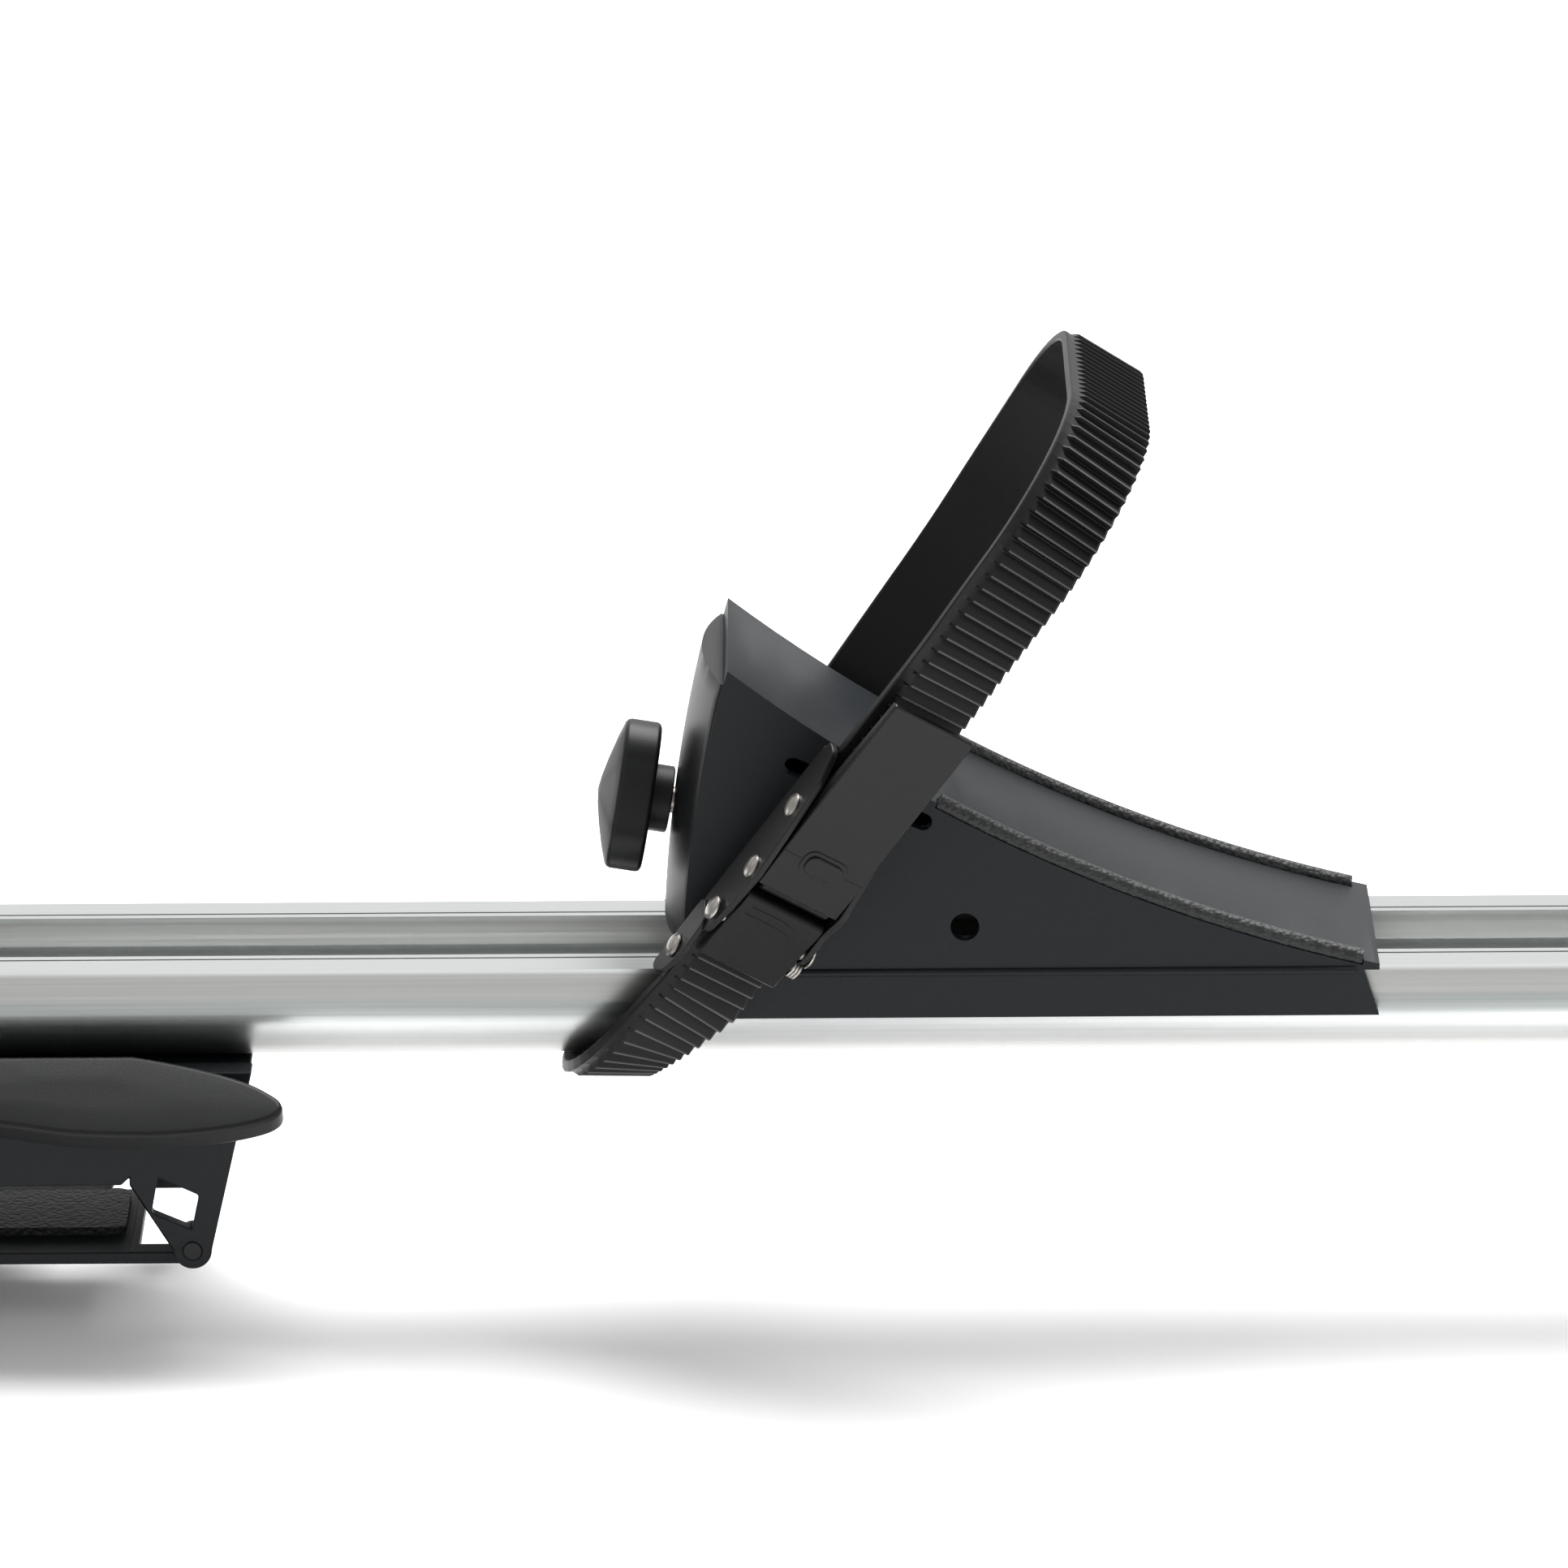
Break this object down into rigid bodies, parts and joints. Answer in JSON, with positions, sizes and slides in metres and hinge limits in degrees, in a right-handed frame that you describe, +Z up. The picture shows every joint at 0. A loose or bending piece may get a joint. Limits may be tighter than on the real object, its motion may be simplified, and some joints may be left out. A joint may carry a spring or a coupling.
{
  "type": "roof mounted bike carrier",
  "caption": "Rail type roof bike carrier with quick clamp feet, sliding wheel chocks with ratchet straps, and a folding arm with a frame clamp.",
  "frame": {"origin": "middle of the front foot's rubber seat, where it rests on the roof bar", "axes": "+X along the rail in the bicycle's forward direction, +Y to the side away from the levers, +Z up"},
  "size_m": [1.456, 0.1129, 0.6236],
  "materials": {
    "rail_aluminium": "satin anodised",
    "moulded_plastic": "fine grained, bluish black",
    "cover_plastic": "satin",
    "strap_plastic": "satin, ribbed",
    "soft_rubber": "soft",
    "black_metal": "satin black",
    "steel": "bright",
    "cast_alloy": "dark coated"
  },
  "bodies": {
    "rail": {"rail": "rail_aluminium", "front_end_cap": "moulded_plastic", "rear_end_cap": "moulded_plastic", "front_foot_body": "moulded_plastic", "front_foot_seat_pad": "soft_rubber", "front_foot_screws": "steel", "front_jaw_pin": "black_metal", "arm_base": "cast_alloy", "arm_base_screws": "steel", "arm_pivot_pin": "steel"},
    "rear_foot": {"rear_foot_body": "moulded_plastic", "rear_foot_seat_pad": "soft_rubber", "rear_foot_screws": "steel", "rear_jaw_pin": "black_metal"},
    "front_lever": {"front_quick_lever": "moulded_plastic", "front_cam_shaft": "steel"},
    "front_bolt": {"front_tension_bolt": "steel"},
    "front_nut": {"front_height_nut": "moulded_plastic"},
    "front_lower_jaw": {"front_jaw": "moulded_plastic", "front_jaw_pad": "soft_rubber"},
    "rear_lever": {"rear_quick_lever": "moulded_plastic", "rear_cam_shaft": "steel"},
    "rear_bolt": {"rear_tension_bolt": "steel"},
    "rear_nut": {"rear_height_nut": "moulded_plastic"},
    "rear_lower_jaw": {"rear_jaw": "moulded_plastic", "rear_jaw_pad": "soft_rubber"},
    "front_chock": {"front_chock_shell": "moulded_plastic", "front_chock_end_cover": "cover_plastic", "front_chock_edging": "soft_rubber", "front_rocker_pin": "steel", "front_strap": "strap_plastic", "front_buckle_base": "black_metal", "front_buckle_rivets": "steel"},
    "front_clamp_screw": {"front_chock_screw": "steel"},
    "front_knob": {"front_chock_knob": "cover_plastic"},
    "front_rocker": {"front_clamp_rocker": "cast_alloy"},
    "front_ratchet_lever": {"front_buckle_lever": "black_metal"},
    "front_release": {"front_release_plate": "strap_plastic"},
    "rear_chock": {"rear_chock_shell": "moulded_plastic", "rear_chock_end_cover": "cover_plastic", "rear_chock_edging": "soft_rubber", "rear_rocker_pin": "steel", "rear_strap": "strap_plastic", "rear_buckle_base": "black_metal", "rear_buckle_rivets": "steel"},
    "rear_clamp_screw": {"rear_chock_screw": "steel"},
    "rear_knob": {"rear_chock_knob": "cover_plastic"},
    "rear_rocker": {"rear_clamp_rocker": "cast_alloy"},
    "rear_ratchet_lever": {"rear_buckle_lever": "black_metal"},
    "rear_release": {"rear_release_plate": "strap_plastic"},
    "arm": {"arm_knuckle": "cast_alloy", "arm_tube": "rail_aluminium", "clamp_head": "moulded_plastic", "fixed_claw_pad": "soft_rubber", "claw_pin": "steel"},
    "claw": {"swing_claw": "moulded_plastic", "swing_claw_pad": "soft_rubber"},
    "spindle": {"clamp_spindle": "steel"},
    "head_knob": {"clamp_knob": "moulded_plastic"}
  },
  "joints": [
    {"name": "rear_foot_slide", "type": "slide", "parent": "rail", "child": "rear_foot", "axis": [1, 0, 0], "range_m": [-0.03, 0.04]},
    {"name": "front_lever_turn", "type": "hinge", "parent": "rail", "child": "front_lever", "pos_m": [-0.05, 0, 0.011], "axis": [0, -1, 0], "range_deg": [0, 120]},
    {"name": "front_bolt_travel", "type": "slide", "parent": "rail", "child": "front_bolt", "axis": [0, 0, -1], "range_m": [0, 0.0105]},
    {"name": "front_jaw_swing", "type": "hinge", "parent": "rail", "child": "front_lower_jaw", "pos_m": [0.0605, 0, -0.0136], "axis": [0, -1, 0], "range_deg": [0, 4.95]},
    {"name": "front_nut_turn", "type": "hinge", "parent": "front_bolt", "child": "front_nut", "pos_m": [-0.05, 0, -0.0227], "axis": [0, 0, 1], "continuous": true},
    {"name": "rear_lever_turn", "type": "hinge", "parent": "rear_foot", "child": "rear_lever", "pos_m": [-0.7, 0, 0.011], "axis": [0, -1, 0], "range_deg": [0, 120]},
    {"name": "rear_bolt_travel", "type": "slide", "parent": "rear_foot", "child": "rear_bolt", "axis": [0, 0, -1], "range_m": [0, 0.0105]},
    {"name": "rear_jaw_swing", "type": "hinge", "parent": "rear_foot", "child": "rear_lower_jaw", "pos_m": [-0.5895, 0, -0.0136], "axis": [0, -1, 0], "range_deg": [0, 4.95]},
    {"name": "rear_nut_turn", "type": "hinge", "parent": "rear_bolt", "child": "rear_nut", "pos_m": [-0.7, 0, -0.0227], "axis": [0, 0, 1], "continuous": true},
    {"name": "front_chock_slide", "type": "slide", "parent": "rail", "child": "front_chock", "axis": [1, 0, 0], "range_m": [-0.04, 0.1]},
    {"name": "front_screw_feed", "type": "slide", "parent": "front_chock", "child": "front_clamp_screw", "axis": [-0.9863, 0, 0.165], "range_m": [0, 0.0025]},
    {"name": "front_knob_turn", "type": "hinge", "parent": "front_clamp_screw", "child": "front_knob", "pos_m": [0.16834, 0, 0.0816], "axis": [-0.9863, 0, 0.165], "range_deg": [0, 600]},
    {"name": "front_rocker_swing", "type": "hinge", "parent": "front_chock", "child": "front_rocker", "pos_m": [0.206, 0, 0.064], "axis": [0, -1, 0], "range_deg": [0, 10]},
    {"name": "front_ratchet_turn", "type": "hinge", "parent": "front_chock", "child": "front_ratchet_lever", "pos_m": [0.19592, -0.04498, 0.07591], "axis": [0.8245, 0.225, -0.5192], "range_deg": [0, 90]},
    {"name": "front_release_press", "type": "hinge", "parent": "front_chock", "child": "front_release", "pos_m": [0.18809, -0.04234, 0.06461], "axis": [-0.8245, -0.225, 0.5192], "range_deg": [0, 11], "stiffness_Nm_per_rad": 0.05, "springref_deg": -8.59},
    {"name": "rear_chock_slide", "type": "slide", "parent": "rail", "child": "rear_chock", "axis": [1, 0, 0], "range_m": [-0.01, 0.03]},
    {"name": "rear_screw_feed", "type": "slide", "parent": "rear_chock", "child": "rear_clamp_screw", "axis": [-0.9863, 0, 0.165], "range_m": [0, 0.0025]},
    {"name": "rear_knob_turn", "type": "hinge", "parent": "rear_clamp_screw", "child": "rear_knob", "pos_m": [-0.93166, 0, 0.0816], "axis": [-0.9863, 0, 0.165], "range_deg": [0, 600]},
    {"name": "rear_rocker_swing", "type": "hinge", "parent": "rear_chock", "child": "rear_rocker", "pos_m": [-0.894, 0, 0.064], "axis": [0, -1, 0], "range_deg": [0, 10]},
    {"name": "rear_ratchet_turn", "type": "hinge", "parent": "rear_chock", "child": "rear_ratchet_lever", "pos_m": [-0.90408, -0.04498, 0.07591], "axis": [0.8245, 0.225, -0.5192], "range_deg": [0, 90]},
    {"name": "rear_release_press", "type": "hinge", "parent": "rear_chock", "child": "rear_release", "pos_m": [-0.91191, -0.04234, 0.06461], "axis": [-0.8245, -0.225, 0.5192], "range_deg": [0, 11], "stiffness_Nm_per_rad": 0.05, "springref_deg": -8.59},
    {"name": "arm_fold", "type": "hinge", "parent": "rail", "child": "arm", "pos_m": [-0.045, 0, 0.079], "axis": [0, -1, 0], "range_deg": [0, 80]},
    {"name": "claw_swing", "type": "hinge", "parent": "arm", "child": "claw", "pos_m": [-0.12036, -0.0295, 0.50641], "axis": [0.9848, 0, 0.1736], "range_deg": [0, 16]},
    {"name": "spindle_feed", "type": "slide", "parent": "arm", "child": "spindle", "axis": [0, -1, 0], "range_m": [0, 0.012]},
    {"name": "head_knob_turn", "type": "hinge", "parent": "spindle", "child": "head_knob", "pos_m": [-0.12592, -0.049, 0.53792], "axis": [0, -1, 0], "range_deg": [0, 1440]}
  ],
  "couplings": [
    {"joint": "front_lever_turn", "follows": "front_bolt_travel", "rad_per_m": 199.47},
    {"joint": "front_jaw_swing", "follows": "front_bolt_travel", "rad_per_m": 8.2279},
    {"joint": "rear_lever_turn", "follows": "rear_bolt_travel", "rad_per_m": 199.47},
    {"joint": "rear_jaw_swing", "follows": "rear_bolt_travel", "rad_per_m": 8.2279},
    {"joint": "front_knob_turn", "follows": "front_screw_feed", "rad_per_m": 4188.8},
    {"joint": "front_rocker_swing", "follows": "front_screw_feed", "rad_per_m": 69.813},
    {"joint": "rear_knob_turn", "follows": "rear_screw_feed", "rad_per_m": 4188.8},
    {"joint": "rear_rocker_swing", "follows": "rear_screw_feed", "rad_per_m": 69.813},
    {"joint": "claw_swing", "follows": "spindle_feed", "rad_per_m": 23.271},
    {"joint": "head_knob_turn", "follows": "spindle_feed", "rad_per_m": 2094.4}
  ]
}
